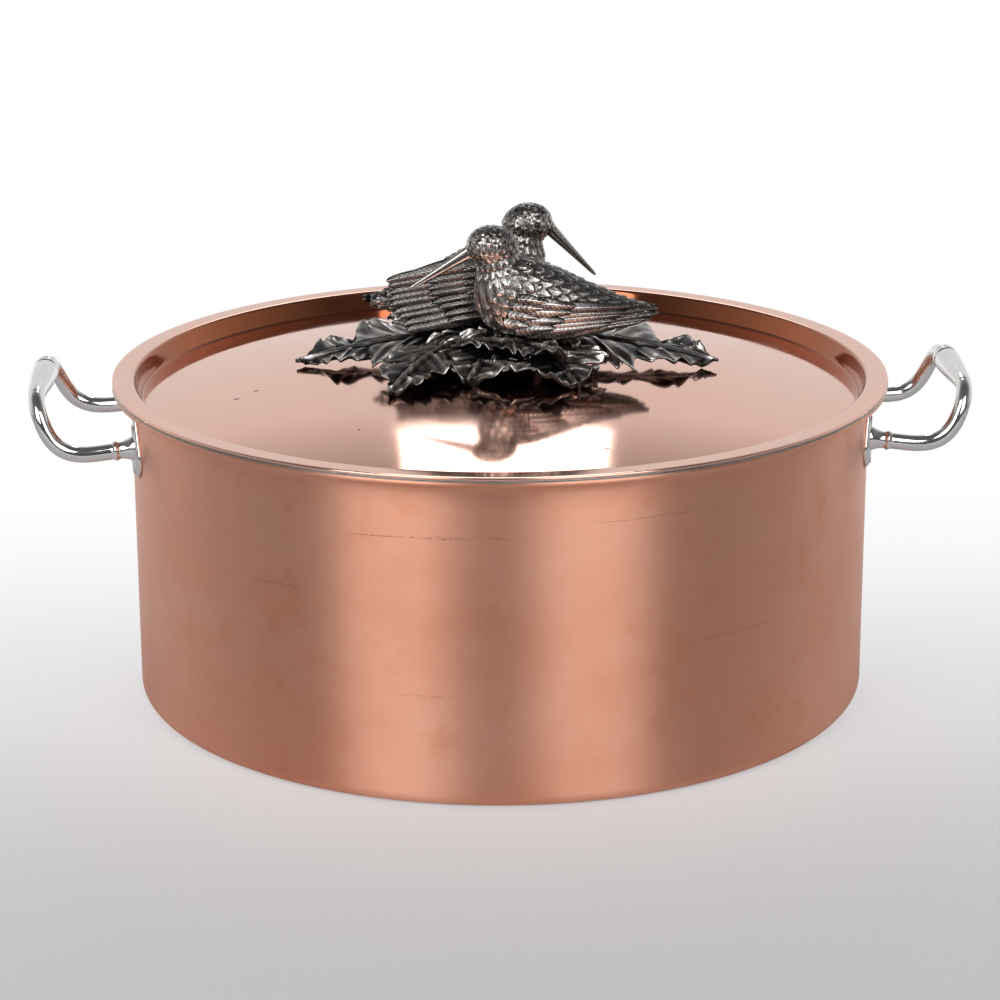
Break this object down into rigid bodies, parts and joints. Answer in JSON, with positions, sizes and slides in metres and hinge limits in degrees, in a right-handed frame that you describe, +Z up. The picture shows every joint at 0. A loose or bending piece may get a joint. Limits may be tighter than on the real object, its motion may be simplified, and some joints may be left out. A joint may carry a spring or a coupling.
{
  "type": "braising pot",
  "caption": "Round straight-sided copper braising pot with side handles and a sunk crowned lid carrying an ornamental bird-and-leaf knob.",
  "frame": {"origin": "centre of the pot's flat underside, on the surface that it stands on", "axes": "+X through the two handles towards the right one, +Y away from the knob's front, +Z up"},
  "size_m": [0.4082, 0.336, 0.2104],
  "materials": {
    "copper": "satin sheet copper, polished along the wall, with fine scratches",
    "polished_copper": "mirror-polished sheet copper",
    "tin": "wiped hot tin, soft grey",
    "cast_silver": "polished silver-white casting",
    "rivet_metal": "hammered rivet heads",
    "cast_dark_silver": "antiqued silver casting, dark in the hollows and bright on the ridges",
    "steel": "plain turned steel"
  },
  "bodies": {
    "pot": {"pot_shell": "copper", "pot_lining": "tin", "right_handle": "cast_silver", "left_handle": "cast_silver", "right_handle_rivets": "rivet_metal", "left_handle_rivets": "rivet_metal"},
    "lid": {"lid_shell": "polished_copper", "lid_lining": "tin", "knob_mound": "cast_dark_silver", "front_bird": "cast_dark_silver", "rear_bird": "cast_dark_silver", "leaf_left": "cast_dark_silver", "leaf_front_left": "cast_dark_silver", "leaf_front_right": "cast_dark_silver", "leaf_right": "cast_dark_silver", "leaf_back_right": "cast_dark_silver", "leaf_back": "cast_dark_silver", "leaf_back_left": "cast_dark_silver", "leaf_front_centre": "cast_dark_silver", "leaf_centre": "cast_dark_silver", "knob_studs": "steel", "knob_washers": "steel", "knob_nuts": "steel"}
  },
  "joints": [
    {"name": "lid_lift", "type": "slide", "parent": "pot", "child": "lid", "axis": [0, 0, 1], "range_m": [0, 0.16]}
  ]
}
